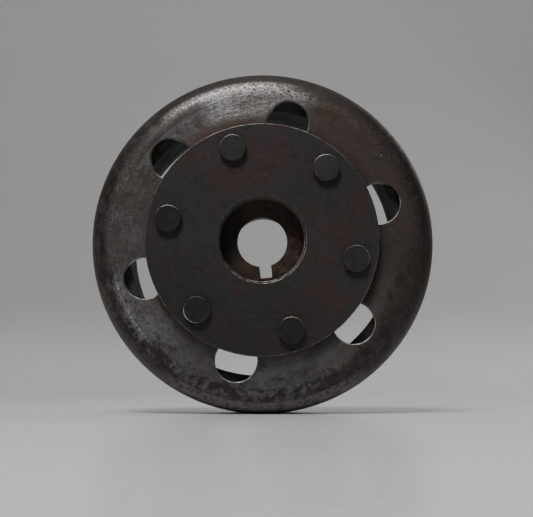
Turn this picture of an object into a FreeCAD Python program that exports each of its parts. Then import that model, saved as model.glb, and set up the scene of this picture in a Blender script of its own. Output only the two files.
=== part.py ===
import FreeCAD, Part
import os

import Sketcher

# Flywheel magneto rotor, in millimetres. It stands upright: the axis runs along Y, the riveted face looks
# towards -Y and +Z is up. Depths are counted backwards from the plane of the rivet heads; each body's
# Placement then puts the middle of the rotor at the origin. Angles run from +X towards +Z.
DIMS = {
    # depths, front to back
    "head_height": 2.2,
    "flange_thick": 3.5,
    "face_thick": 4.5,
    "seat_depth": 2.5,
    "magnet_length": 26.0,
    "cover_thick": 0.5,
    "lip_depth": 1.2,
    "total_depth": 44.2,
    # cup
    "cup_radius": 55.0,
    "wall_radius": 51.0,
    "lip_radius": 49.5,
    "rim_radius": 51.6,
    "shoulder_round": 8.0,
    "corner_round": 2.5,
    "rim_edge": 0.6,
    "lip_edge": 0.4,
    # six windows in the cup's face
    "window_circle": 39.0,
    "window_radius": 6.75,
    "window_angle": 17.8,
    "window_edge": 0.3,
    # hub: flange, boss, internal puller thread and 1:5 taper bore with its keyway
    "flange_radius": 37.0,
    "flange_round": 0.35,
    "flange_back_edge": 0.3,
    "boss_radius": 18.0,
    "boss_length": 25.9,
    "boss_edge": 1.0,
    "counterbore_depth": 10.0,
    "thread_minor": 13.459,
    "thread_root": 14.0,
    "thread_pitch": 1.0,
    "thread_turns": 8,
    "crest_flat": 0.25,
    "root_flat": 0.125,
    "mouth_edge": 0.69,
    "bore_small": 8.0,
    "bore_large": 10.39,
    "bore_edge": 0.5,
    "key_width": 3.8,
    "key_floor": 11.6,
    "key_angle": -83.2,
    # rivets
    "rivet_count": 6,
    "rivet_circle": 30.25,
    "rivet_angle": 47.8,
    "head_radius": 4.25,
    "head_round": 0.3,
    "shank_radius": 3.0,
    "tail_radius": 5.0,
    "tail_height": 2.8,
    "tail_round": 1.4,
    # magnet ring
    "magnet_count": 6,
    "cover_radius": 43.6,
    "cover_bend": 1.0,
    "seat_inner": 42.9,
    "seat_outer": 50.8,
    "seat_chamfer": 2.3,
    "seat_edge": 0.3,
    "magnet_edge": 0.6,
    "spacer_edge": 0.55,
    "spacer_angle": 6.0,
}

# Planes that several pieces share, each a sum of depths from the front.
FLANGE_FRONT = ("head_height",)
FACE_FRONT = FLANGE_FRONT + ("flange_thick",)
FACE_BACK = FACE_FRONT + ("face_thick",)
SEAT_BACK = FACE_BACK + ("seat_depth",)
MAGNET_BACK = SEAT_BACK + ("magnet_length",)
COVER_BACK = MAGNET_BACK + ("cover_thick",)
LIP_BACK = COVER_BACK + ("lip_depth",)
BOSS_BACK = FACE_BACK + ("boss_length",)
FLOOR = FLANGE_FRONT + ("counterbore_depth",)
COVER_OUTER = ("cover_radius", "cover_thick")
FRONT = ()

TOLERANCE = 1e-4

doc = FreeCAD.newDocument("rotor")


def make_sheet():
    """Spreadsheet with one named cell for each driving dimension."""
    sheet = doc.addObject("Spreadsheet::Sheet", "dims")
    for row, (name, number) in enumerate(DIMS.items(), start=1):
        sheet.set("A%d" % row, name)
        sheet.set("B%d" % row, str(number))
        sheet.setAlias("B%d" % row, name)
    doc.recompute()


def terms(size):
    """A size is one name from the sheet or a tuple of names to add up."""
    return (size,) if isinstance(size, str) else size


def number(size):
    """Value of a sum of dimensions; a name that starts with a minus sign is taken away."""
    return sum(-DIMS[n[1:]] if n.startswith("-") else DIMS[n] for n in terms(size))


def expression(size):
    """The same sum as text that a feature can be bound to."""
    text = "".join(" - dims." + n[1:] if n.startswith("-") else " + dims." + n for n in terms(size))
    return text[3:] if text.startswith(" +") else text or "0"


def make_body(label, x="0 mm", z="0 mm", turn=0.0):
    """Body whose own Placement carries it to the rotor's centre, and off the axis where x and z say so."""
    body = doc.addObject("PartDesign::Body", label)
    body.Label = label
    rotation = FreeCAD.Rotation(FreeCAD.Vector(0, -1, 0), turn)
    body.Placement = FreeCAD.Placement(FreeCAD.Vector(0, -DIMS["total_depth"] / 2, 0), rotation)
    body.setExpression("Placement.Base.x", x)
    body.setExpression("Placement.Base.y", "-dims.total_depth / 2")
    body.setExpression("Placement.Base.z", z)
    return body


def origin_feature(body, role):
    """One of the planes or axes of the body's own origin."""
    return next(f for f in body.Origin.OriginFeatures if f.Role == role)


def new_sketch(body, name, plane, turn=None):
    """Sketch on one of the body's origin planes, turned about the rotor's axis by a named angle."""
    sketch = body.newObject("Sketcher::SketchObject", name)
    sketch.AttachmentSupport = [(origin_feature(body, plane), "")]
    sketch.MapMode = "FlatFace"
    if turn:
        rotation = FreeCAD.Rotation(FreeCAD.Vector(0, 0, 1), DIMS[turn])
        sketch.AttachmentOffset = FreeCAD.Placement(FreeCAD.Vector(0, 0, 0), rotation)
    return sketch


def bind(sketch, kind, *where, size):
    """One sketch dimension, bound to the spreadsheet."""
    index = sketch.addConstraint(Sketcher.Constraint(kind, *where, number(size)))
    sketch.setExpression("Constraints[%d]" % index, expression(size))


def draw_polygon(sketch, corners):
    """Closed outline; each corner is a pair of sizes, radius and depth."""
    points = [FreeCAD.Vector(number(radius), number(depth), 0) for radius, depth in corners]
    count = len(points)
    for start, end in zip(points, points[1:] + points[:1]):
        sketch.addGeometry(Part.LineSegment(start, end), False)
    for side in range(count):
        sketch.addConstraint(Sketcher.Constraint("Coincident", side, 2, (side + 1) % count, 1))
    for side, (radius, depth) in enumerate(corners):
        bind(sketch, "DistanceX", -1, 1, side, 1, size=radius)
        if number(depth) > TOLERANCE:
            bind(sketch, "DistanceY", -1, 1, side, 1, size=depth)
        else:
            sketch.addConstraint(Sketcher.Constraint("PointOnObject", side, 1, -1))


def revolve(body, name, corners, angle=360.0, angle_text=None):
    """Turns an outline of radii and depths about the rotor's axis."""
    sketch = new_sketch(body, name + "_profile", "XY_Plane")
    draw_polygon(sketch, corners)
    turned = body.newObject("PartDesign::Revolution", name)
    turned.Profile = sketch
    turned.ReferenceAxis = (sketch, ["V_Axis"])
    turned.Angle = angle
    if angle_text:
        turned.setExpression("Angle", angle_text)
    finish_feature(body, turned)


def finish_feature(body, feature):
    """Makes a new feature the tip, and makes sure that it changed the solid."""
    before = body.Shape.Volume if body.Shape and not body.Shape.isNull() else 0.0
    body.Tip = feature
    doc.recompute()
    if abs(body.Shape.Volume - before) < TOLERANCE:
        raise RuntimeError("%s changed nothing" % feature.Name)


def circle_edges(feature, radius, depth):
    """Names of the circular edges with this radius that lie in the plane at this depth."""
    found = []
    for place, edge in enumerate(feature.Shape.Edges, start=1):
        curve = edge.Curve
        if not isinstance(curve, Part.Circle):
            continue
        if abs(curve.Radius - number(radius)) < TOLERANCE and abs(curve.Center.y - number(depth)) < TOLERANCE:
            found.append("Edge%d" % place)
    if not found:
        raise RuntimeError("no edge of radius %g at depth %g" % (number(radius), number(depth)))
    return found


def dress(body, name, kind, size, edges):
    """Fillet or chamfer on the named edges of the body's present tip."""
    base = body.Tip
    feature = body.newObject("PartDesign::" + kind, name)
    feature.Base = (base, edges)
    measure = "Radius" if kind == "Fillet" else "Size"
    setattr(feature, measure, number(size))
    feature.setExpression(measure, expression(size))
    finish_feature(body, feature)


def round_edge(body, name, size, radius, depth):
    dress(body, name, "Fillet", size, circle_edges(body.Tip, radius, depth))


def chamfer_edge(body, name, size, radius, depth):
    dress(body, name, "Chamfer", size, circle_edges(body.Tip, radius, depth))


def ring_of_holes(body, name, circle, radius, turn, count):
    """Through holes along the axis: one circle pocketed, then a polar pattern of it."""
    sketch = new_sketch(body, name + "_outline", "XZ_Plane", turn)
    centre = FreeCAD.Vector(number(circle), 0, 0)
    sketch.addGeometry(Part.Circle(centre, FreeCAD.Vector(0, 0, 1), number(radius)), False)
    sketch.addConstraint(Sketcher.Constraint("PointOnObject", 0, 3, -1))
    bind(sketch, "DistanceX", -1, 1, 0, 3, size=circle)
    bind(sketch, "Radius", 0, size=radius)
    hole = body.newObject("PartDesign::Pocket", name)
    hole.Profile = sketch
    hole.Type = "ThroughAll"
    hole.Midplane = True
    finish_feature(body, hole)
    pattern = body.newObject("PartDesign::PolarPattern", name + "_ring")
    pattern.Originals = [hole]
    pattern.Axis = (origin_feature(body, "Y_Axis"), [""])
    pattern.Angle = 360.0
    pattern.setExpression("Occurrences", "dims." + count)
    finish_feature(body, pattern)


def make_cup():
    """Pressed and turned steel cup with six windows, six rivet holes and the lip that holds the magnets."""
    body = make_body("rotor_cup")
    revolve(body, "cup_shell", [
        ("boss_radius", FACE_FRONT),
        ("cup_radius", FACE_FRONT),
        ("cup_radius", "total_depth"),
        ("rim_radius", "total_depth"),
        ("rim_radius", LIP_BACK),
        ("lip_radius", LIP_BACK),
        ("lip_radius", COVER_BACK),
        ("wall_radius", COVER_BACK),
        ("wall_radius", FACE_BACK),
        ("boss_radius", FACE_BACK),
    ])
    round_edge(body, "cup_shoulder", "shoulder_round", "cup_radius", FACE_FRONT)
    round_edge(body, "cup_inner_corner", "corner_round", "wall_radius", FACE_BACK)
    chamfer_edge(body, "cup_rim_outer_edge", "rim_edge", "cup_radius", "total_depth")
    chamfer_edge(body, "cup_rim_inner_edge", "rim_edge", "rim_radius", "total_depth")
    round_edge(body, "cup_lip_edge", "lip_edge", "lip_radius", LIP_BACK)
    ring_of_holes(body, "cup_windows", "window_circle", "window_radius", "window_angle", "magnet_count")
    chamfer_edge(body, "cup_window_edges", "window_edge", "window_radius", FACE_FRONT)
    ring_of_holes(body, "cup_rivet_holes", "rivet_circle", "shank_radius", "rivet_angle", "rivet_count")
    return body


def cut_thread(body):
    """Puller thread: one groove of the thread's own section, repeated at its pitch."""
    sketch = new_sketch(body, "thread_profile", "XY_Plane")
    lead_in = number("head_height") + number("mouth_edge") + number("thread_pitch") / 2
    wide = (number("thread_pitch") - number("crest_flat")) / 2
    narrow = number("root_flat") / 2
    inner, outer = number("thread_minor"), number("thread_root")
    corners = [(inner, lead_in - wide), (outer, lead_in - narrow),
               (outer, lead_in + narrow), (inner, lead_in + wide)]
    points = [FreeCAD.Vector(radius, depth, 0) for radius, depth in corners]
    for start, end in zip(points, points[1:] + points[:1]):
        sketch.addGeometry(Part.LineSegment(start, end), False)
    for side in range(4):
        sketch.addConstraint(Sketcher.Constraint("Coincident", side, 2, (side + 1) % 4, 1))
    sketch.addConstraint(Sketcher.Constraint("Vertical", 1))
    sketch.addConstraint(Sketcher.Constraint("Vertical", 3))
    bind(sketch, "DistanceX", -1, 1, 0, 1, size="thread_minor")
    bind(sketch, "DistanceX", -1, 1, 1, 1, size="thread_root")
    bind(sketch, "DistanceY", 1, 1, 1, 2, size="root_flat")
    bind(sketch, "DistanceY", 3, 2, 3, 1, size=("thread_pitch", "-crest_flat"))
    middle = "dims.head_height + dims.mouth_edge + dims.thread_pitch / 2"
    low = sketch.addConstraint(Sketcher.Constraint("DistanceY", -1, 1, 1, 1, lead_in - narrow))
    sketch.setExpression("Constraints[%d]" % low, middle + " - dims.root_flat / 2")
    front = sketch.addConstraint(Sketcher.Constraint("DistanceY", -1, 1, 0, 1, lead_in - wide))
    sketch.setExpression("Constraints[%d]" % front, middle + " - (dims.thread_pitch - dims.crest_flat) / 2")
    groove = body.newObject("PartDesign::Groove", "thread_groove")
    groove.Profile = sketch
    groove.ReferenceAxis = (sketch, ["V_Axis"])
    groove.Angle = 360.0
    finish_feature(body, groove)
    pattern = body.newObject("PartDesign::LinearPattern", "thread_turns_row")
    pattern.Originals = [groove]
    pattern.Direction = (origin_feature(body, "Y_Axis"), [""])
    pattern.Length = DIMS["thread_pitch"] * (DIMS["thread_turns"] - 1)
    pattern.setExpression("Length", "dims.thread_pitch * (dims.thread_turns - 1)")
    pattern.setExpression("Occurrences", "dims.thread_turns")
    finish_feature(body, pattern)


def cut_keyway(body):
    """Keyway broached parallel to the axis, so it is deepest at the small end of the taper."""
    sketch = new_sketch(body, "keyway_outline", "XZ_Plane", "key_angle")
    half, floor = DIMS["key_width"] / 2, DIMS["key_floor"]
    corners = [(0, -half), (floor, -half), (floor, half), (0, half)]
    points = [FreeCAD.Vector(along, across, 0) for along, across in corners]
    for start, end in zip(points, points[1:] + points[:1]):
        sketch.addGeometry(Part.LineSegment(start, end), False)
    for side in range(4):
        sketch.addConstraint(Sketcher.Constraint("Coincident", side, 2, (side + 1) % 4, 1))
    for side, kind in ((0, "Horizontal"), (2, "Horizontal"), (3, "Vertical")):
        sketch.addConstraint(Sketcher.Constraint(kind, side))
    sketch.addConstraint(Sketcher.Constraint("PointOnObject", 0, 1, -2))
    sketch.addConstraint(Sketcher.Constraint("Symmetric", 1, 1, 1, 2, -1))
    bind(sketch, "DistanceX", -1, 1, 1, 1, size="key_floor")
    bind(sketch, "DistanceY", 1, 1, 1, 2, size="key_width")
    slot = body.newObject("PartDesign::Pocket", "keyway")
    slot.Profile = sketch
    slot.Type = "ThroughAll"
    slot.Midplane = True
    finish_feature(body, slot)


def make_hub():
    """Turned hub: outside flange, boss, threaded counterbore and taper bore."""
    body = make_body("hub")
    revolve(body, "hub_blank", [
        ("thread_minor", FLANGE_FRONT),
        ("flange_radius", FLANGE_FRONT),
        ("flange_radius", FACE_FRONT),
        ("boss_radius", FACE_FRONT),
        ("boss_radius", BOSS_BACK),
        ("bore_large", BOSS_BACK),
        ("bore_small", FLOOR),
        ("thread_minor", FLOOR),
    ])
    round_edge(body, "flange_front_edge", "flange_round", "flange_radius", FLANGE_FRONT)
    chamfer_edge(body, "flange_back_chamfer", "flange_back_edge", "flange_radius", FACE_FRONT)
    chamfer_edge(body, "boss_end_chamfer", "boss_edge", "boss_radius", BOSS_BACK)
    chamfer_edge(body, "bore_end_chamfer", "bore_edge", "bore_large", BOSS_BACK)
    chamfer_edge(body, "counterbore_mouth", "mouth_edge", "thread_minor", FLANGE_FRONT)
    ring_of_holes(body, "hub_rivet_holes", "rivet_circle", "shank_radius", "rivet_angle", "rivet_count")
    cut_thread(body)
    cut_keyway(body)
    return body


def make_rivet(place):
    """Flat-head rivet with its upset tail inside the cup."""
    angle = "(dims.rivet_angle + %d * 360 / dims.rivet_count)" % (place - 1)
    body = make_body(
        "rivet_%d" % place,
        "dims.rivet_circle * cos(%s * 1 deg)" % angle,
        "dims.rivet_circle * sin(%s * 1 deg)" % angle,
    )
    tail_back = FACE_BACK + ("tail_height",)
    revolve(body, "rivet_%d_turned" % place, [
        (FRONT, FRONT),
        ("head_radius", FRONT),
        ("head_radius", FLANGE_FRONT),
        ("shank_radius", FLANGE_FRONT),
        ("shank_radius", FACE_BACK),
        ("tail_radius", FACE_BACK),
        ("tail_radius", tail_back),
        (FRONT, tail_back),
    ])
    round_edge(body, "rivet_%d_head_edge" % place, "head_round", "head_radius", FRONT)
    round_edge(body, "rivet_%d_tail_edge" % place, "tail_round", "tail_radius", tail_back)
    return body


def make_arc_block(label, start_angle, sweep, sweep_text, edge):
    """Block bent to the ring's curve: a rectangle turned part of the way round, all edges chamfered."""
    body = make_body(label, turn=start_angle)
    revolve(body, label + "_arc", [
        (COVER_OUTER, SEAT_BACK),
        ("wall_radius", SEAT_BACK),
        ("wall_radius", MAGNET_BACK),
        (COVER_OUTER, MAGNET_BACK),
    ], angle=sweep, angle_text=sweep_text)
    every_edge = ["Edge%d" % place for place in range(1, len(body.Tip.Shape.Edges) + 1)]
    dress(body, label + "_edges", "Chamfer", edge, every_edge)
    return body


def make_magnets():
    """Arc magnets, with a non-magnetic spacer in each gap; the gaps stand behind the windows."""
    pitch = 360.0 / DIMS["magnet_count"]
    sweep = pitch - DIMS["spacer_angle"]
    bodies = []
    for place in range(1, DIMS["magnet_count"] + 1):
        gap = DIMS["window_angle"] + (place - 1) * pitch
        spacer_end = gap + DIMS["spacer_angle"] / 2
        bodies.append(make_arc_block(
            "magnet_%d" % place, spacer_end + sweep, sweep,
            "360 / dims.magnet_count - dims.spacer_angle", "magnet_edge"))
        bodies.append(make_arc_block(
            "magnet_spacer_%d" % place, spacer_end, DIMS["spacer_angle"], "dims.spacer_angle", "spacer_edge"))
    return bodies


def make_seat_ring():
    """Flat ring that the magnets stand on, chamfered to clear the cup's inner corner."""
    body = make_body("magnet_seat_ring")
    revolve(body, "seat_ring_section", [
        ("seat_inner", FACE_BACK),
        ("seat_outer", FACE_BACK),
        ("seat_outer", SEAT_BACK),
        ("seat_inner", SEAT_BACK),
    ])
    chamfer_edge(body, "seat_ring_corner", "seat_chamfer", "seat_outer", FACE_BACK)
    chamfer_edge(body, "seat_ring_bore_edge", "seat_edge", "seat_inner", FACE_BACK)
    return body


def make_magnet_cover():
    """Thin stainless liner: a sleeve inside the magnets and a flange over their ends, under the cup's lip."""
    body = make_body("magnet_cover")
    revolve(body, "cover_section", [
        ("cover_radius", SEAT_BACK),
        (COVER_OUTER, SEAT_BACK),
        (COVER_OUTER, MAGNET_BACK),
        ("wall_radius", MAGNET_BACK),
        ("wall_radius", COVER_BACK),
        ("cover_radius", COVER_BACK),
    ])
    round_edge(body, "cover_outer_bend", "cover_bend", "cover_radius", COVER_BACK)
    round_edge(body, "cover_inner_bend", ("cover_bend", "-cover_thick"), COVER_OUTER, MAGNET_BACK)
    return body


def check(bodies):
    """Stops at any object with an error, and at any piece that isn't one valid solid."""
    for item in doc.Objects:
        if "Invalid" in item.State or "Error" in item.State:
            raise RuntimeError("%s: %s" % (item.Name, item.State))
    for body in bodies:
        shape = body.Shape
        if shape.isNull() or not shape.isValid() or len(shape.Solids) != 1:
            raise RuntimeError("%s isn't one valid solid" % body.Label)


make_sheet()
bodies = [make_cup(), make_hub()]
bodies += [make_rivet(place) for place in range(1, DIMS["rivet_count"] + 1)]
bodies += make_magnets()
bodies += [make_seat_ring(), make_magnet_cover()]
doc.recompute()
check(bodies)

os.makedirs("parts", exist_ok=True)
for body in bodies:
    body.Shape.exportStep(os.path.join("parts", body.Label + ".step"))
    print("%s %.1f mm3" % (body.Label, body.Shape.Volume))
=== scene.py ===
import math

import bpy
from mathutils import Euler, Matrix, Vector


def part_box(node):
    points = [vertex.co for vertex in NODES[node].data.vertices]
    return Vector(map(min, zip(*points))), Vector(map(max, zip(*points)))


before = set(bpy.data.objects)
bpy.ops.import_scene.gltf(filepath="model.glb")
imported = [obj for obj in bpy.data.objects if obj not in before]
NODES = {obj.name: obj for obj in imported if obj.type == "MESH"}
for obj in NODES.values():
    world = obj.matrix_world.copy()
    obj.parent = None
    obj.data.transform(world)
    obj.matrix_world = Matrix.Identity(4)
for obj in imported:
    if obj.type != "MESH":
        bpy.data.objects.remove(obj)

SCENE = bpy.context.scene
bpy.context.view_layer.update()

MM = 0.001
FLOOR_Z = -55.0 * MM

# Planes of the rotor along its axis, Y, in mm. The riveted side looks towards -Y.
HEAD_FRONT = -22.1
FLANGE_FRONT = -19.9
FACE_FRONT = -16.4
FACE_BACK = -11.9
REAR_RIM = 22.1


def rgb(red, green, blue, shade=1.0):
    """Opaque colour, darker where shade is under 1."""
    return (shade * red, shade * green, shade * blue, 1.0)


# ---------------------------------------------------------------- node graphs

class Graph:
    """Builds one material's node tree.

    Lengths are in mm. Directions are degrees round the rotor's axis: seen from the riveted side, 0 is right
    and 90 is up.
    """

    def __init__(self, name):
        self.material = bpy.data.materials.new(name)
        self.material.use_nodes = True
        self.tree = self.material.node_tree
        self.tree.nodes.clear()
        self.count = 0

    def add(self, kind, **settings):
        """Adds a node, laid out in rows of twelve for whoever opens the material."""
        node = self.tree.nodes.new(kind)
        self.count += 1
        node.location = (180 * (self.count % 12), -220 * (self.count // 12))
        for key, setting in settings.items():
            setattr(node, key, setting)
        return node

    def feed(self, socket, source):
        """Links another node's output to this socket, or gives it a plain value."""
        if isinstance(source, bpy.types.NodeSocket):
            self.tree.links.new(source, socket)
        else:
            socket.default_value = source

    def math(self, operation, *sources):
        node = self.add("ShaderNodeMath", operation=operation)
        for socket, source in zip(node.inputs, sources):
            self.feed(socket, source)
        return node.outputs[0]

    def place(self):
        """Place on the part in mm, and its distance and direction from the rotor's axis."""
        coordinates = self.add("ShaderNodeTexCoord")
        scaled = self.add("ShaderNodeVectorMath", operation="SCALE")
        self.feed(scaled.inputs[0], coordinates.outputs["Object"])
        scaled.inputs["Scale"].default_value = 1 / MM
        self.spot = scaled.outputs[0]
        split = self.add("ShaderNodeSeparateXYZ")
        self.feed(split.inputs[0], self.spot)
        self.x, self.y, self.z = split.outputs
        squares = self.math("MULTIPLY_ADD", self.z, self.z, self.math("MULTIPLY", self.x, self.x))
        self.radius = self.math("SQRT", squares)
        self.cos = self.math("DIVIDE", self.x, self.math("MAXIMUM", self.radius, 0.01))
        self.sin = self.math("DIVIDE", self.z, self.math("MAXIMUM", self.radius, 0.01))

    def noise(self, scale, detail=4.0, rough=0.55, vector=None, offset=0.0, twist=0.0):
        """Noise from 0 to 1. Scale is per mm, and each offset gives another pattern."""
        node = self.add("ShaderNodeTexNoise", noise_dimensions="4D")
        self.feed(node.inputs["Vector"], vector or self.spot)
        self.feed(node.inputs["W"], offset)
        self.feed(node.inputs["Scale"], scale)
        self.feed(node.inputs["Detail"], detail)
        self.feed(node.inputs["Roughness"], rough)
        self.feed(node.inputs["Distortion"], twist)
        return node.outputs["Fac"]

    def rings(self, fineness, turn, detail=3.0, rough=0.6, seed=0.0):
        """Noise drawn out round the axis, like turning marks: thin in radius and depth, long in angle."""
        node = self.add("ShaderNodeCombineXYZ")
        self.feed(node.inputs[0], self.math("MULTIPLY", self.cos, turn))
        self.feed(node.inputs[1], self.math("MULTIPLY", self.sin, turn))
        self.feed(node.inputs[2], self.math("MULTIPLY", self.radius, fineness))
        depth = self.math("MULTIPLY_ADD", self.y, fineness, seed)
        return self.noise(1.0, detail, rough, node.outputs[0], depth)

    def fade(self, source, low, high, start=0.0, end=1.0):
        """Smooth step from start to end as source goes from low to high."""
        node = self.add("ShaderNodeMapRange", interpolation_type="SMOOTHSTEP")
        self.feed(node.inputs["Value"], source)
        self.feed(node.inputs["From Min"], low)
        self.feed(node.inputs["From Max"], high)
        self.feed(node.inputs["To Min"], start)
        self.feed(node.inputs["To Max"], end)
        return node.outputs["Result"]

    def band(self, source, low, high, soft):
        """1 between low and high, fading to 0 over soft outside them."""
        rising = self.fade(source, low - soft, low)
        return self.math("MULTIPLY", rising, self.fade(source, high, high + soft, 1.0, 0.0))

    def towards(self, degrees, width, soft):
        """1 within width degrees of this direction round the axis, fading to 0 over soft degrees more."""
        angle = math.radians(degrees)
        along = self.math("MULTIPLY", self.cos, math.cos(angle))
        along = self.math("MULTIPLY_ADD", self.sin, math.sin(angle), along)
        return self.fade(along, math.cos(math.radians(min(width + soft, 179))), math.cos(math.radians(width)))

    def times(self, *sources):
        """All the sources multiplied together."""
        total = sources[0]
        for source in sources[1:]:
            total = self.math("MULTIPLY", total, source)
        return total

    def either(self, *sources):
        """The largest of the sources."""
        total = sources[0]
        for source in sources[1:]:
            total = self.math("MAXIMUM", total, source)
        return total

    def mix(self, factor, under, over):
        node = self.add("ShaderNodeMix", data_type="RGBA")
        self.feed(node.inputs[0], factor)
        self.feed(node.inputs[6], under)
        self.feed(node.inputs[7], over)
        return node.outputs[2]

    def coats(self, colour, *coats):
        """Lays each (how much, which colour) over those before it."""
        for amount, over in coats:
            colour = self.mix(amount, colour, over)
        return colour

    def chamfers(self):
        """1 on surfaces that stand at 45 degrees to the axis, and how far they turn to the upper left."""
        shape = self.add("ShaderNodeNewGeometry")
        split = self.add("ShaderNodeSeparateXYZ")
        self.feed(split.inputs[0], shape.outputs["Normal"])
        across, along, upward = split.outputs
        slanted = self.band(self.math("ABSOLUTE", along), 0.64, 0.77, 0.04)
        return slanted, self.math("MULTIPLY_ADD", upward, 0.9, self.math("MULTIPLY", across, -0.4))

    def bump(self, *layers):
        """Layers of (height source, depth in mm, strength), each laid on those before it."""
        normal = None
        for height, depth, strength in layers:
            node = self.add("ShaderNodeBump")
            node.inputs["Distance"].default_value = depth * MM
            node.inputs["Strength"].default_value = strength
            self.feed(node.inputs["Height"], height)
            if normal is not None:
                self.feed(node.inputs["Normal"], normal)
            normal = node.outputs[0]
        return normal

    def surface(self, colour, roughness, metallic, normal, specular=0.5):
        shader = self.add("ShaderNodeBsdfPrincipled")
        self.feed(shader.inputs["Base Color"], colour)
        self.feed(shader.inputs["Roughness"], roughness)
        self.feed(shader.inputs["Metallic"], metallic)
        self.feed(shader.inputs["Normal"], normal)
        shader.inputs["Specular IOR Level"].default_value = specular
        output = self.add("ShaderNodeOutputMaterial")
        self.tree.links.new(shader.outputs[0], output.inputs["Surface"])
        return self.material


# ---------------------------------------------------------------- cup

UMBER, BROWN = rgb(0.011, 0.009, 0.008), rgb(0.036, 0.021, 0.016)
WARM, RUSTY = rgb(0.060, 0.046, 0.038), rgb(0.070, 0.030, 0.022)

# where the cup's brown band reaches further in: direction, half width, softness, and how far in mm
REACHES = ((0, 34, 26, 2.8), (52, 16, 22, 1.6), (322, 26, 16, 4.4), (97, 34, 18, 1.3), (218, 10, 14, 1.6),
           (172, 20, 20, 1.4))
CHIP_X, CHIP_Z = 38.05, 27.25


def cup_textures(g):
    """The noises that the cup's colours, roughness and bumps share, the finest first."""
    g.sparkle = g.noise(2.2, 3.0, 0.6, offset=31.0)
    g.grain = g.noise(1.7, 5.0, 0.7)
    g.speckle = g.noise(0.75, 6.0, 0.72, offset=3.0)
    g.stain = g.noise(0.27, 6.0, 0.68, offset=21.0, twist=0.5)
    g.blotch = g.noise(0.21, 6.0, 0.66, offset=7.0, twist=0.8)
    g.cloud = g.noise(0.05, 4.0, 0.6, offset=11.0)
    g.hairlines = g.rings(5.0, 5.0, detail=2.0, seed=4.0)
    g.streaks = g.rings(1.9, 9.0, detail=4.0, rough=0.62)
    g.spotted = g.math("MULTIPLY_ADD", g.math("SUBTRACT", g.speckle, 0.5), 0.35, g.stain)


def cup_masks(g):
    """Where the cup is browned, spotted, dirty, rusty or coloured by heat, where the flange's painted shadow
    falls, and where the bottom rim has a painted reflection, each from 0 to 1.
    """
    ragged = g.radius
    for texture, spread in ((g.blotch, 8.0), (g.speckle, 7.0), (g.grain, 3.0)):
        ragged = g.math("MULTIPLY_ADD", g.math("SUBTRACT", texture, 0.5), spread, ragged)
    for degrees, width, soft, reach in REACHES:
        ragged = g.math("MULTIPLY_ADD", g.towards(degrees, width, soft), reach, ragged)
    softer = g.math("MULTIPLY", g.towards(5, 40, 25), 1.1)
    browned = g.fade(ragged, g.math("SUBTRACT", 51.2, softer), g.math("ADD", 52.7, softer))
    # painted reflection of the pale floor: a lighter speckled band along the bottom rim, which also thins the
    # brown band there
    g.scoured = g.times(g.towards(270, 28, 14), g.band(g.radius, 51.8, 54.4, 0.8),
                        g.fade(g.speckle, 0.40, 0.54))
    g.brown_band = g.times(browned, g.fade(g.speckle, 0.34, 0.56, 0.78, 1.0),
                           g.math("SUBTRACT", 1.0, g.times(g.scoured, 0.9)))

    foot_spots = g.times(g.fade(g.spotted, 0.466, 0.514), g.band(g.radius, 47.8, 52.2, 1.6),
                         g.towards(262, 66, 14))
    loose_spots = g.times(g.fade(g.spotted, 0.545, 0.59), g.band(g.radius, 44.5, 48.5, 2.0),
                          g.towards(282, 56, 16), 0.85)
    left_patches = g.times(g.fade(g.spotted, 0.47, 0.54), g.band(g.radius, 50.6, 53.0, 1.4),
                           g.towards(164, 32, 16), 0.75)
    g.spots = g.either(foot_spots, loose_spots, left_patches)

    g.wall = g.fade(g.y, FACE_BACK - 0.6, FACE_BACK + 2.9)
    # painted shadow of the flange on the right of the face; g.dirt below holds it together with the real dirt
    # round the flange
    g.shadowed = g.times(g.fade(g.radius, 37.5, 41.0, 1.0, 0.0), g.towards(345, 44, 20))
    by_flange = g.times(g.fade(g.radius, 37.3, 39.8, 1.0, 0.0), g.fade(g.blotch, 0.36, 0.60, 0.35, 0.95))
    g.dirt = g.either(by_flange, g.shadowed)
    g.rust = g.times(g.fade(g.radius, 38.5, 43.0, 1.0, 0.0), g.towards(112, 16, 16),
                     g.fade(g.speckle, 0.36, 0.58))
    g.heat = g.either(g.times(g.towards(36, 22, 24), g.fade(g.cloud, 0.32, 0.58, 0.5, 1.0)),
                      g.times(g.towards(355, 20, 22), 0.6))


def cup_steel(g):
    """Turned steel, with its scratches lightened into a painted highlight at the top of the face, and painted
    shade on the upper left near the shoulder and on the right of the face.
    """
    scratches = g.rings(2.6, 24.0, detail=3.0, seed=12.0)
    highlit_scratches = g.coats(
        g.mix(g.fade(scratches, 0.40, 0.60), rgb(0.19, 0.185, 0.18), rgb(0.47, 0.465, 0.46)),
        (g.fade(g.grain, 0.50, 0.60, 0.0, 0.75), rgb(0.10, 0.095, 0.09)))
    # painted highlight at the top of the face: scratched steel made bright where the lamp's reflection falls
    scoured_top = g.times(g.towards(94, 12, 13), g.band(g.radius, 41.5, 47.0, 2.5),
                          g.fade(g.speckle, 0.30, 0.50, 0.6, 1.0))
    # painted shade on the upper left near the shoulder and on the right of the face
    painted_side_shade = g.either(g.times(g.towards(132, 14, 10), g.band(g.radius, 46.8, 49.6, 0.8)),
                      g.times(g.towards(16, 24, 16), g.fade(g.radius, 47.0, 50.0, 1.0, 0.0)))
    return g.coats(
        g.mix(g.fade(g.blotch, 0.36, 0.64), rgb(0.074, 0.071, 0.068), rgb(0.125, 0.122, 0.119)),
        (g.fade(g.streaks, 0.52, 0.70, 0.0, 0.45), rgb(0.20, 0.195, 0.19)),
        (g.fade(g.grain, 0.52, 0.68, 0.0, 0.45), rgb(0.036, 0.033, 0.031)),
        (g.times(g.towards(209, 8, 14), g.fade(g.speckle, 0.34, 0.56), 0.5), rgb(0.21, 0.205, 0.205)),
        (scoured_top, highlit_scratches),
        (g.times(painted_side_shade, 0.65), rgb(0.036, 0.032, 0.029)))


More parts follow.
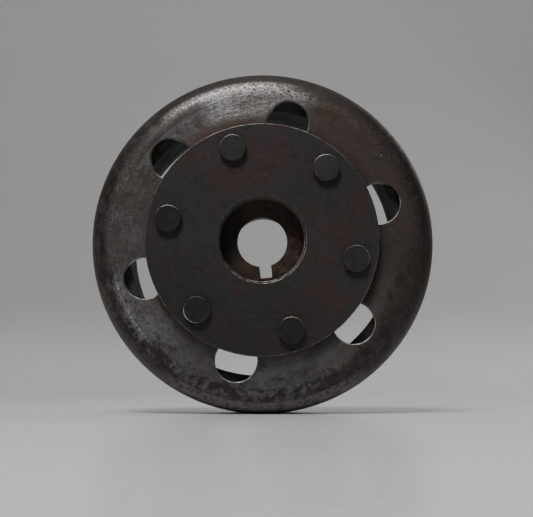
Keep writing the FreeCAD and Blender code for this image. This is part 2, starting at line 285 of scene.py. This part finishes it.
def cup_oxide(g):
    """Colour of the brown band, faded to grey-brown on the left."""
    faded = g.times(g.either(g.towards(163, 26, 14), g.towards(214, 12, 12)), g.fade(g.radius, 51.0, 52.6),
                    g.fade(g.speckle, 0.36, 0.56), 0.8)
    return g.coats(
        g.mix(g.fade(g.grain, 0.40, 0.62), UMBER, BROWN),
        (g.fade(g.speckle, 0.54, 0.64, 0.0, 0.7), WARM),
        (g.fade(g.spotted, 0.50, 0.58, 0.0, 0.6), rgb(0.009, 0.0075, 0.007)),
        (faded, rgb(0.070, 0.056, 0.050)))


def cup_front(g):
    """Colour of the face and the shoulder."""
    heated = g.mix(g.fade(g.speckle, 0.38, 0.62), rgb(0.049, 0.032, 0.027), rgb(0.034, 0.018, 0.014))
    tarnish = g.times(g.fade(g.spotted, 0.50, 0.57), g.band(g.radius, 45.5, 51.0, 3.0), g.towards(58, 17, 14))
    # painted shade: the bottom of the shoulder darkened
    painted_bottom_shade = g.times(g.towards(266, 54, 16), g.fade(g.radius, 48.6, 51.6))
    spot_colour = g.mix(g.fade(g.grain, 0.46, 0.64), UMBER, rgb(0.022, 0.013, 0.010))
    # painted highlight: speckled bright steel along the top of the shoulder
    painted_crest_highlight = g.times(g.towards(103, 15, 15), g.band(g.radius, 49.8, 51.0, 0.9))
    painted_speckled_highlight = g.mix(g.fade(g.sparkle, 0.44, 0.60), rgb(0.080, 0.073, 0.068), rgb(0.46, 0.45, 0.435))
    return g.coats(
        cup_steel(g),
        (g.fade(g.cloud, 0.42, 0.60, 0.0, 0.5), WARM),
        (g.times(g.heat, 0.86), heated),
        # brown dirt round the flange, turning to near-black umber in the flange's painted shadow
        (g.times(g.dirt, 0.75), g.mix(g.shadowed, BROWN, UMBER)),
        (g.times(g.rust, 0.75), RUSTY),
        (g.times(tarnish, 0.6), BROWN),
        (g.times(g.brown_band, 0.94), cup_oxide(g)),
        (g.times(painted_bottom_shade, 0.5), rgb(0.030, 0.026, 0.024)),
        (g.times(g.spots, 0.96), spot_colour),
        # the bottom rim's painted reflection in light grey
        (g.times(g.scoured, 0.6), rgb(0.16, 0.15, 0.145)),
        (g.times(painted_crest_highlight, 0.62), painted_speckled_highlight))


def cup_outside(g):
    """Colour of the outside wall: brown steel with rust and faint turning marks."""
    return g.coats(
        g.mix(g.fade(g.stain, 0.40, 0.60), WARM, rgb(0.034, 0.025, 0.020)),
        (g.fade(g.spotted, 0.53, 0.62, 0.0, 0.8), RUSTY),
        (g.fade(g.streaks, 0.50, 0.70, 0.0, 0.3), rgb(0.12, 0.115, 0.11)),
        (g.fade(g.grain, 0.54, 0.66, 0.0, 0.6), UMBER))


def cup_inside(g):
    """Colour of the face's inner side: cleaner turned steel with some rust."""
    return g.coats(
        g.mix(g.fade(g.blotch, 0.40, 0.60), rgb(0.120, 0.113, 0.107), rgb(0.050, 0.040, 0.034)),
        (g.fade(g.streaks, 0.50, 0.66, 0.0, 0.5), rgb(0.21, 0.205, 0.20)),
        (g.times(g.fade(g.cloud, 0.44, 0.60), g.fade(g.spotted, 0.46, 0.56), 0.8), RUSTY))


def cup_scuffs(g):
    """Bright rub marks on the lower left of the shoulder: a broken line in a haze."""
    line = g.times(g.band(g.radius, 47.9, 48.2, 0.35), g.fade(g.grain, 0.42, 0.58))
    haze = g.times(g.band(g.radius, 47.4, 48.6, 1.0), g.fade(g.speckle, 0.42, 0.60), 0.45)
    return g.times(g.either(line, haze), g.towards(208, 9, 9), 0.75)


def cup_chip(g):
    """One small slanted chip on the upper right of the face."""
    across = g.math("MULTIPLY", g.math("SUBTRACT", g.x, CHIP_X), 1.6)
    upward = g.math("MULTIPLY_ADD", across, 0.5, g.math("SUBTRACT", g.z, CHIP_Z))
    squares = g.math("MULTIPLY_ADD", upward, upward, g.math("MULTIPLY", across, across))
    return g.times(g.fade(squares, 0.03, 0.22, 1.0, 0.0),
                   g.fade(g.y, FACE_FRONT + 1.4, FACE_FRONT + 0.4), 0.8)


def cup_worn_and_lit_edges(g):
    """Chamfers worn to bright metal round the windows and at the rear rim, with a painted highlight where
    they face the upper left lamp.
    """
    slanted, facing = g.chamfers()
    return g.times(slanted, g.fade(g.speckle, 0.36, 0.52, 0.35, 1.0), g.fade(facing, 0.0, 0.5, 0.1, 1.0),
                   g.either(g.fade(g.radius, 46.9, 46.4), g.fade(g.y, REAR_RIM - 8.1, REAR_RIM - 6.1)))


def cup_material():
    """Worn pressed steel: turning marks, a pitted shoulder, painted highlights at the top, painted shade and
    a painted reflection at the bottom, a ragged brown band round the outside.
    """
    g = Graph("worn_cup_steel")
    g.place()
    cup_textures(g)
    cup_masks(g)
    inside = g.times(g.fade(g.y, FACE_BACK - 0.7, FACE_BACK - 0.1), g.fade(g.radius, 51.6, 51.1))
    # edges worn to bright metal, with a painted highlight where they face the lamp
    bare_and_highlight = cup_worn_and_lit_edges(g)
    colour = g.coats(
        cup_front(g),
        (g.times(g.wall, g.fade(g.blotch, 0.36, 0.60, 0.75, 1.0)), cup_outside(g)),
        (inside, cup_inside(g)),
        (cup_scuffs(g), rgb(0.34, 0.33, 0.38)),
        (cup_chip(g), rgb(0.24, 0.19, 0.155)),
        (bare_and_highlight, rgb(0.62, 0.61, 0.59)))
    # covered takes in the flange's painted shadow through g.dirt, besides the real oxide, spots, wall, heat,
    # dirt and rust
    covered = g.either(g.brown_band, g.spots, g.times(g.wall, 0.8), g.times(g.heat, 0.7), g.dirt, g.rust)
    metallic = g.either(g.math("SUBTRACT", 0.82, g.times(covered, 0.42)), bare_and_highlight)
    roughness = g.math("MULTIPLY_ADD", covered, 0.12, g.fade(g.speckle, 0.35, 0.7, 0.35, 0.50))
    roughness = g.math("MULTIPLY_ADD", bare_and_highlight, -0.08, roughness)
    pits = g.fade(g.grain, 0.54, 0.68, 1.0, 0.0)
    normal = g.bump((g.blotch, 0.25, 0.25), (g.streaks, 0.10, 0.35), (g.hairlines, 0.035, 0.8),
                    (g.speckle, 0.18, 0.45), (g.sparkle, 0.12, 0.5), (pits, 0.10, 0.6))
    return g.surface(colour, roughness, metallic, normal)


# ---------------------------------------------------------------- hub

def hub_face(g):
    """Colour of the flange: dark steel with brown and blue clouds, fine turning arcs, and painted shade
    towards the lower left and at the top.
    """
    dark = rgb(0.021, 0.019, 0.019)
    browned = g.either(g.times(g.towards(112, 24, 22), g.band(g.radius, 17.0, 33.0, 4.0)),
                       g.times(g.towards(3, 14, 22), g.band(g.radius, 14.0, 29.0, 5.0)),
                       g.times(g.towards(302, 16, 20), g.band(g.radius, 22.0, 31.0, 5.0)))
    blued = g.either(g.times(g.towards(153, 12, 20), g.band(g.radius, 15.0, 30.0, 5.0)),
                     g.times(g.towards(345, 10, 16), g.band(g.radius, 30.0, 37.0, 4.0)))
    # painted shade: the flange darker towards the lower left and at the top
    shaded = g.either(g.times(g.towards(245, 35, 45), g.fade(g.radius, 14.0, 34.0, 0.6, 1.0)),
                      g.times(g.towards(90, 50, 50), 0.55))
    browned = g.math("MULTIPLY_ADD", browned, 0.16, g.cloud)
    blued = g.math("MULTIPLY_ADD", blued, 0.18, g.cloud_two)
    return g.coats(
        g.mix(g.fade(browned, 0.47, 0.68), rgb(0.042, 0.038, 0.037), rgb(0.064, 0.034, 0.028)),
        (g.fade(blued, 0.50, 0.68, 0.0, 0.9), rgb(0.033, 0.036, 0.048)),
        (g.math("MULTIPLY_ADD", shaded, 0.42, 0.25), dark),
        (g.fade(g.mottle, 0.47, 0.62, 0.0, 0.55), dark),
        (g.fade(g.grain, 0.54, 0.66, 0.0, 0.35), rgb(0.085, 0.078, 0.076)),
        (g.fade(g.hairlines, 0.54, 0.68, 0.0, 0.28), rgb(0.075, 0.070, 0.069)))


def hub_rear(g):
    """Colour of the boss: cleaner turned steel with some rust."""
    return g.coats(
        g.mix(g.fade(g.mottle, 0.40, 0.60), rgb(0.130, 0.122, 0.115), rgb(0.055, 0.042, 0.034)),
        (g.fade(g.hairlines, 0.52, 0.66, 0.0, 0.5), rgb(0.22, 0.215, 0.21)),
        (g.times(g.fade(g.cloud, 0.44, 0.60), g.fade(g.mottle, 0.44, 0.56), 0.8), rgb(0.060, 0.030, 0.019)))


def hub_recess(g):
    """Colour of the thread, counterbore and bore: rust, with painted glints in the rust at the lower right
    and a near-black painted shadow on the left.
    """
    return g.coats(
        g.mix(g.fade(g.mottle, 0.38, 0.62), rgb(0.016, 0.011, 0.009), rgb(0.050, 0.026, 0.018)),
        # rust with painted glints at the lower right
        (g.times(g.towards(318, 40, 40), g.fade(g.mottle, 0.46, 0.66), 0.7), rgb(0.105, 0.045, 0.022)),
        # painted shadow on the left, near black
        (g.times(g.towards(172, 24, 34), 0.7), rgb(0.006, 0.005, 0.0045)))


def hub_worn_and_lit_edges(g):
    """Edges worn to bright metal, with painted highlights: the flange's rim, brightest at the top, and both
    edges of the recess's mouth, brightest at the lower right.
    """
    # painted highlight: the rim brighter towards the top, the mouth towards the lower right
    rim = g.times(g.band(g.radius, 36.80, 37.1, 0.05), g.fade(g.towards(108, 40, 70), 0.0, 1.0, 0.5, 0.75))
    mouth = g.times(g.either(g.band(g.radius, 13.98, 14.18, 0.05), g.band(g.radius, 13.40, 13.60, 0.05)),
                    g.fade(g.towards(296, 45, 45), 0.0, 1.0, 0.18, 1.0))
    return g.times(g.either(rim, mouth), g.fade(g.y, FLANGE_FRONT + 1.0, FLANGE_FRONT + 0.6),
                   g.fade(g.mottle, 0.42, 0.56, 0.12, 1.0), g.fade(g.cloud_two, 0.36, 0.60, 1.0, 0.5))


def hub_material():
    """Dark heat-oxidised steel: neutral, brown and blue clouds, painted shade, a worn rim line with painted
    highlights, rust in the recess with painted glints and a painted shadow.
    """
    g = Graph("oxidised_hub_steel")
    g.place()
    g.grain = g.noise(2.2, 4.0, 0.65)
    g.mottle = g.noise(0.55, 6.0, 0.7, offset=5.0)
    g.cloud = g.noise(0.075, 4.0, 0.55, offset=2.0, twist=0.4)
    g.cloud_two = g.noise(0.070, 4.0, 0.55, offset=9.0, twist=0.5)
    g.hairlines = g.rings(3.4, 5.0, detail=2.0, seed=2.0)
    rear = g.fade(g.y, FACE_BACK - 0.5, FACE_BACK + 0.3)
    recess = g.times(g.fade(g.radius, 13.9, 13.5), g.fade(g.y, FLANGE_FRONT + 0.3, FLANGE_FRONT + 0.9))
    bare_and_highlight = hub_worn_and_lit_edges(g)
    worn_and_lit_colour = g.mix(g.fade(g.radius, 14.5, 15.0), rgb(0.66, 0.64, 0.59), rgb(0.46, 0.45, 0.42))
    colour = g.coats(
        hub_face(g),
        (rear, hub_rear(g)),
        (recess, hub_recess(g)),
        (g.times(bare_and_highlight, 0.9), worn_and_lit_colour))
    metallic = g.math("MULTIPLY_ADD", rear, 0.2, g.math("SUBTRACT", 0.60, g.times(recess, 0.40)))
    metallic = g.either(metallic, g.times(bare_and_highlight, 0.9))
    roughness = g.math("MULTIPLY_ADD", recess, 0.14, g.fade(g.mottle, 0.3, 0.7, 0.38, 0.52))
    roughness = g.math("MULTIPLY_ADD", bare_and_highlight, -0.12, roughness)
    normal = g.bump((g.cloud, 0.3, 0.12), (g.mottle, 0.12, 0.30), (g.hairlines, 0.02, 0.35),
                    (g.grain, 0.05, 0.40))
    return g.surface(colour, roughness, metallic, normal)


# ---------------------------------------------------------------- other pieces

# for each rivet: its head's shade, the direction round the head where its rim is rubbed to bright metal and
# carries a painted highlight, and how bright
HEADS = {1: (0.84, 100, 0.34), 2: (0.70, 115, 0.28), 3: (0.46, 95, 0.30), 4: (0.56, 212, 0.75),
         5: (0.55, 75, 0.28), 6: (0.76, 38, 0.34)}


def rivet_material(place):
    """The hub's oxide, greyer on the struck head and lighter on the tail, with a rim rubbed to bright metal
    and a painted highlight on one side. Each head has its own marks.
    """
    shade, degrees, shine = HEADS[place]
    angle = math.radians(degrees)
    g = Graph("rivet_steel_%d" % place)
    g.place()
    low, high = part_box("rivet_%d" % place)
    across = g.math("SUBTRACT", g.x, (low[0] + high[0]) / 2 / MM)
    upward = g.math("SUBTRACT", g.z, (low[2] + high[2]) / 2 / MM)
    off_axis = g.math("MULTIPLY_ADD", upward, upward, g.math("MULTIPLY", across, across))
    off_axis = g.math("SQRT", off_axis)
    along = g.math("MULTIPLY_ADD", upward, math.sin(angle), g.math("MULTIPLY", across, math.cos(angle)))
    along = g.math("DIVIDE", along, g.math("MAXIMUM", off_axis, 0.01))
    grain = g.noise(2.2, 4.0, 0.65, offset=1.3 * place)
    marks = g.noise(0.85, 6.0, 0.7, offset=2.9 * place)
    cloud = g.noise(0.35, 3.0, 0.5, offset=3.7 * place)
    # rim rubbed to bright metal, with a painted highlight towards the given direction
    bare_and_highlight = g.times(g.band(off_axis, 4.05, 4.4, 0.06), g.fade(marks, 0.40, 0.54, 0.2, 1.0),
                   g.fade(g.y, HEAD_FRONT + 0.7, HEAD_FRONT + 0.3), g.fade(along, 0.30, 0.95, 0.04, 0.75))
    tail = g.mix(g.fade(marks, 0.42, 0.58), rgb(0.135, 0.128, 0.122), rgb(0.055, 0.044, 0.037))
    colour = g.coats(
        g.mix(g.fade(cloud, 0.40, 0.62), rgb(0.031, 0.032, 0.034, shade), rgb(0.045, 0.042, 0.042, shade)),
        (g.fade(marks, 0.56, 0.68, 0.0, 0.6), rgb(0.017, 0.014, 0.013, shade)),
        (g.fade(marks, 0.40, 0.30, 0.0, 0.5), rgb(0.080, 0.077, 0.076, shade)),
        (bare_and_highlight, rgb(shine, 0.97 * shine, 0.94 * shine)),
        (g.fade(g.y, FACE_BACK - 0.5, FACE_BACK + 0.1), tail))
    roughness = g.math("MULTIPLY_ADD", bare_and_highlight, -0.10, g.fade(grain, 0.3, 0.7, 0.38, 0.54))
    normal = g.bump((cloud, 0.25, 0.2), (marks, 0.10, 0.5), (grain, 0.05, 0.4))
    return g.surface(colour, roughness, 0.6, normal)


def liner_material():
    """Thin rolled stainless liner with faint rub rings, duller and darkened by painted shade the further in
    it lies.
    """
    g = Graph("dull_stainless_liner")
    g.place()
    rings = g.rings(1.6, 2.0, seed=8.0)
    dirt = g.noise(0.14, 6.0, 0.66, offset=1.0, twist=0.5)
    grain = g.noise(2.2, 4.0, 0.6)
    # painted shade: darker the further in from the rear rim
    painted_inner_shade = g.fade(g.y, REAR_RIM - 1.3, REAR_RIM - 12.1)
    colour = g.coats(
        g.mix(g.fade(rings, 0.35, 0.65), rgb(0.110, 0.108, 0.105), rgb(0.190, 0.187, 0.183)),
        (g.fade(dirt, 0.42, 0.62, 0.0, 0.75), rgb(0.045, 0.039, 0.034)),
        (g.times(painted_inner_shade, 0.92), rgb(0.024, 0.0235, 0.023)))
    roughness = g.math("MULTIPLY_ADD", painted_inner_shade, 0.38, g.fade(dirt, 0.4, 0.66, 0.40, 0.58))
    metallic = g.math("SUBTRACT", 0.75, g.times(painted_inner_shade, 0.45))
    normal = g.bump((rings, 0.04, 0.3), (dirt, 0.08, 0.2), (grain, 0.03, 0.3))
    return g.surface(colour, roughness, metallic, normal, specular=0.2)


def seat_material():
    """Dull cast ring, dark with dust."""
    g = Graph("dusty_seat_ring")
    g.place()
    dirt = g.noise(0.20, 5.0, 0.6, offset=4.0)
    grain = g.noise(2.4, 4.0, 0.6)
    colour = g.mix(g.fade(dirt, 0.40, 0.62), rgb(0.050, 0.048, 0.046), rgb(0.034, 0.031, 0.028))
    normal = g.bump((dirt, 0.1, 0.2), (grain, 0.05, 0.4))
    return g.surface(colour, g.fade(grain, 0.3, 0.7, 0.80, 0.94), 0.2, normal, specular=0.2)


def ferrite_material():
    """Sintered ferrite: near black, slightly glossy where ground, granular."""
    g = Graph("sintered_ferrite")
    g.place()
    grain = g.noise(2.0, 6.0, 0.7)
    cloud = g.noise(0.15, 3.0, 0.5)
    colour = g.mix(g.fade(cloud, 0.4, 0.6), rgb(0.022, 0.022, 0.024), rgb(0.034, 0.033, 0.034))
    return g.surface(colour, g.fade(grain, 0.3, 0.7, 0.45, 0.62), 0.35, g.bump((grain, 0.06, 0.4)))


def spacer_material():
    """Moulded dark plastic."""
    g = Graph("moulded_spacer")
    g.place()
    grain = g.noise(2.6, 4.0, 0.6)
    cloud = g.noise(0.2, 3.0, 0.5)
    colour = g.mix(g.fade(cloud, 0.4, 0.6), rgb(0.055, 0.045, 0.035), rgb(0.075, 0.062, 0.048))
    return g.surface(colour, g.fade(grain, 0.3, 0.7, 0.42, 0.56), 0.0, g.bump((grain, 0.04, 0.3)))


def floor_material():
    """Pale sheet: satin where it lies flat, matte where it rises behind."""
    g = Graph("pale_floor")
    g.place()
    cloud = g.noise(0.006, 3.0, 0.5)
    grain = g.noise(0.5, 4.0, 0.6)
    risen = g.fade(g.z, -50.0, 40.0)
    colour = g.mix(g.fade(cloud, 0.35, 0.65), rgb(0.78, 0.78, 0.78), rgb(0.82, 0.82, 0.815))
    colour = g.mix(risen, colour, rgb(0.53, 0.53, 0.53))
    roughness = g.math("MULTIPLY_ADD", risen, 0.5, g.fade(grain, 0.3, 0.7, 0.20, 0.24))
    return g.surface(colour, roughness, 0.0, g.bump((grain, 0.05, 0.02)))


def paint(node, material):
    """Puts a material in every slot of a CAD node."""
    for slot in NODES[node].material_slots:
        slot.material = material


paint("rotor_cup", cup_material())
paint("hub", hub_material())
paint("magnet_cover", liner_material())
paint("magnet_seat_ring", seat_material())
ferrite, spacer = ferrite_material(), spacer_material()
for place in range(1, 7):
    paint("rivet_%d" % place, rivet_material(place))
    paint("magnet_%d" % place, ferrite)
    paint("magnet_spacer_%d" % place, spacer)


# ---------------------------------------------------------------- stage

SENSOR_MM, LENS_MM = 36.0, 87.18
EYE_MM = (5.56, -423.75, -45.12)
LOOK_UP, LOOK_LEFT = 5.502, 0.584


def make_stage():
    """Pale floor that curves up into a wall well behind the part."""
    half_width, front, back, bend, top = 2.5, -2.5, 0.95, 0.35, 1.6
    profile = [(front, 0.0), (back - bend, 0.0)]
    for step in range(1, 17):
        angle = math.radians(90 * step / 16)
        profile.append((back - bend + bend * math.sin(angle), bend - bend * math.cos(angle)))
    profile.append((back, top))
    vertices, faces = [], []
    for depth, height in profile:
        vertices += [(-half_width, depth, FLOOR_Z + height), (half_width, depth, FLOOR_Z + height)]
    for row in range(len(profile) - 1):
        first = 2 * row
        faces.append((first, first + 1, first + 3, first + 2))
    mesh = bpy.data.meshes.new("floor")
    mesh.from_pydata(vertices, [], faces)
    for polygon in mesh.polygons:
        polygon.use_smooth = True
    floor = bpy.data.objects.new("floor", mesh)
    SCENE.collection.objects.link(floor)
    floor.data.materials.append(floor_material())


def area_light(name, place, target, size, watts, colour):
    """Square lamp at one place in metres, turned towards another."""
    light = bpy.data.lights.new(name, "AREA")
    light.size = size
    light.energy = watts
    light.color = colour
    lamp = bpy.data.objects.new(name, light)
    lamp.location = place
    lamp.rotation_euler = (Vector(target) - Vector(place)).to_track_quat("-Z", "Y").to_euler()
    SCENE.collection.objects.link(lamp)


def make_lights():
    """A soft key from above the front, a weak fill, one lamp for the wall and one for the part's rear."""
    area_light("key", (-0.15, -0.60, 0.72), (0, 0, 0), 0.30, 7.5, (1.0, 0.985, 0.96))
    area_light("fill", (0.9, -1.1, 0.5), (0, 0, 0), 0.9, 0.4, (0.93, 0.96, 1.0))
    area_light("back", (0.0, 0.10, 1.5), (0, 0.75, 0.1), 1.6, 6.2, (1.0, 1.0, 1.0))
    area_light("rear", (0.50, 0.68, 0.42), (0, 0, -0.01), 0.40, 1.2, (0.97, 0.98, 1.0))
    world = bpy.data.worlds.new("studio")
    world.use_nodes = True
    background = world.node_tree.nodes["Background"]
    background.inputs["Color"].default_value = rgb(0.80, 0.82, 0.85)
    background.inputs["Strength"].default_value = 0.055
    SCENE.world = world


def make_camera():
    """Just above the floor, looking up at the part by five and a half degrees."""
    camera = bpy.data.cameras.new("camera")
    camera.sensor_width = SENSOR_MM
    camera.lens = LENS_MM
    camera.clip_start, camera.clip_end = 0.01, 20.0
    eye = bpy.data.objects.new("camera", camera)
    eye.location = Vector(EYE_MM) * MM
    eye.rotation_euler = Euler((math.radians(90 + LOOK_UP), 0.0, math.radians(LOOK_LEFT)), "XYZ")
    SCENE.collection.objects.link(eye)
    SCENE.camera = eye


make_stage()
make_lights()
make_camera()
